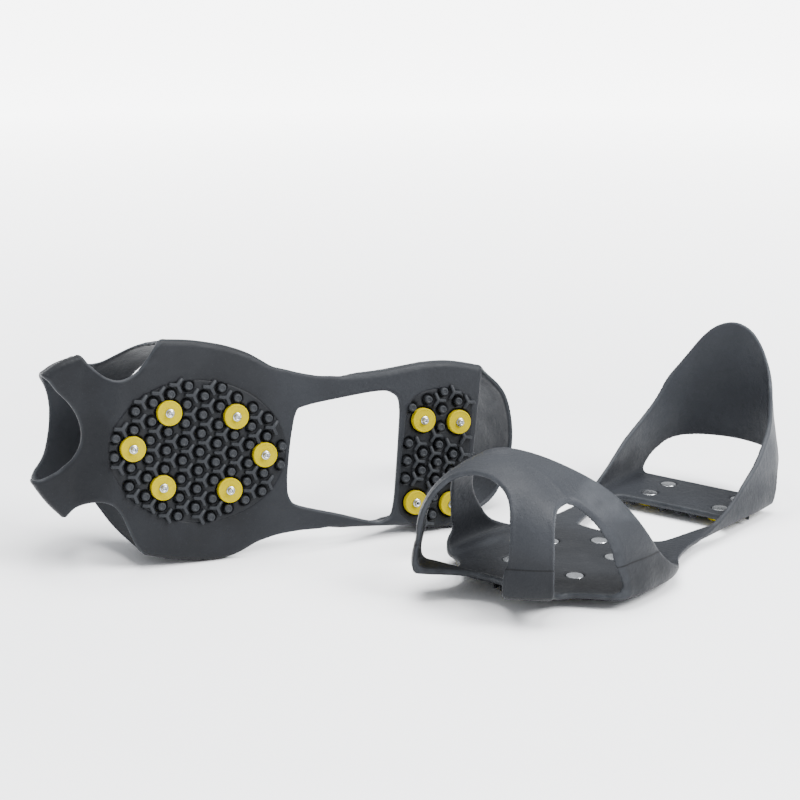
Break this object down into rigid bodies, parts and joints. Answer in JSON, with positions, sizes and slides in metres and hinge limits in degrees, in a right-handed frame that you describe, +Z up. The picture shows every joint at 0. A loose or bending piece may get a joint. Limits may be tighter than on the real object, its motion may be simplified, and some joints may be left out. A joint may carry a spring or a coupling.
{
  "type": "shoe ice cleats",
  "caption": "Pair of stretch-on rubber overshoes with steel studs in yellow collars under the sole, for grip on ice; one stands on its studs, the other lies on its side.",
  "frame": {"origin": "middle of the pair's bounding box in plan, on the ground", "axes": "+Y from the standing cleat's toe to its heel, +X from the lying cleat to the standing one, +Z up"},
  "size_m": [0.3168, 0.3734, 0.1215],
  "materials": {
    "rubber": "matte, dark grey",
    "collar": "matte, bright yellow",
    "steel": "bright"
  },
  "bodies": {
    "standing_cleat": {"standing_overshoe": "rubber", "standing_collar_01": "collar", "standing_stud_01": "steel", "standing_collar_02": "collar", "standing_stud_02": "steel", "standing_collar_03": "collar", "standing_stud_03": "steel", "standing_collar_04": "collar", "standing_stud_04": "steel", "standing_collar_05": "collar", "standing_stud_05": "steel", "standing_collar_06": "collar", "standing_stud_06": "steel", "standing_collar_07": "collar", "standing_stud_07": "steel", "standing_collar_08": "collar", "standing_stud_08": "steel", "standing_collar_09": "collar", "standing_stud_09": "steel", "standing_collar_10": "collar", "standing_stud_10": "steel"},
    "lying_cleat": {"lying_overshoe": "rubber", "lying_collar_01": "collar", "lying_stud_01": "steel", "lying_collar_02": "collar", "lying_stud_02": "steel", "lying_collar_03": "collar", "lying_stud_03": "steel", "lying_collar_04": "collar", "lying_stud_04": "steel", "lying_collar_05": "collar", "lying_stud_05": "steel", "lying_collar_06": "collar", "lying_stud_06": "steel", "lying_collar_07": "collar", "lying_stud_07": "steel", "lying_collar_08": "collar", "lying_stud_08": "steel", "lying_collar_09": "collar", "lying_stud_09": "steel", "lying_collar_10": "collar", "lying_stud_10": "steel"}
  },
  "joints": [
    {"name": "pair_lift", "type": "slide", "parent": "standing_cleat", "child": "lying_cleat", "axis": [0, 0, 1], "range_m": [0, 0.15]}
  ]
}
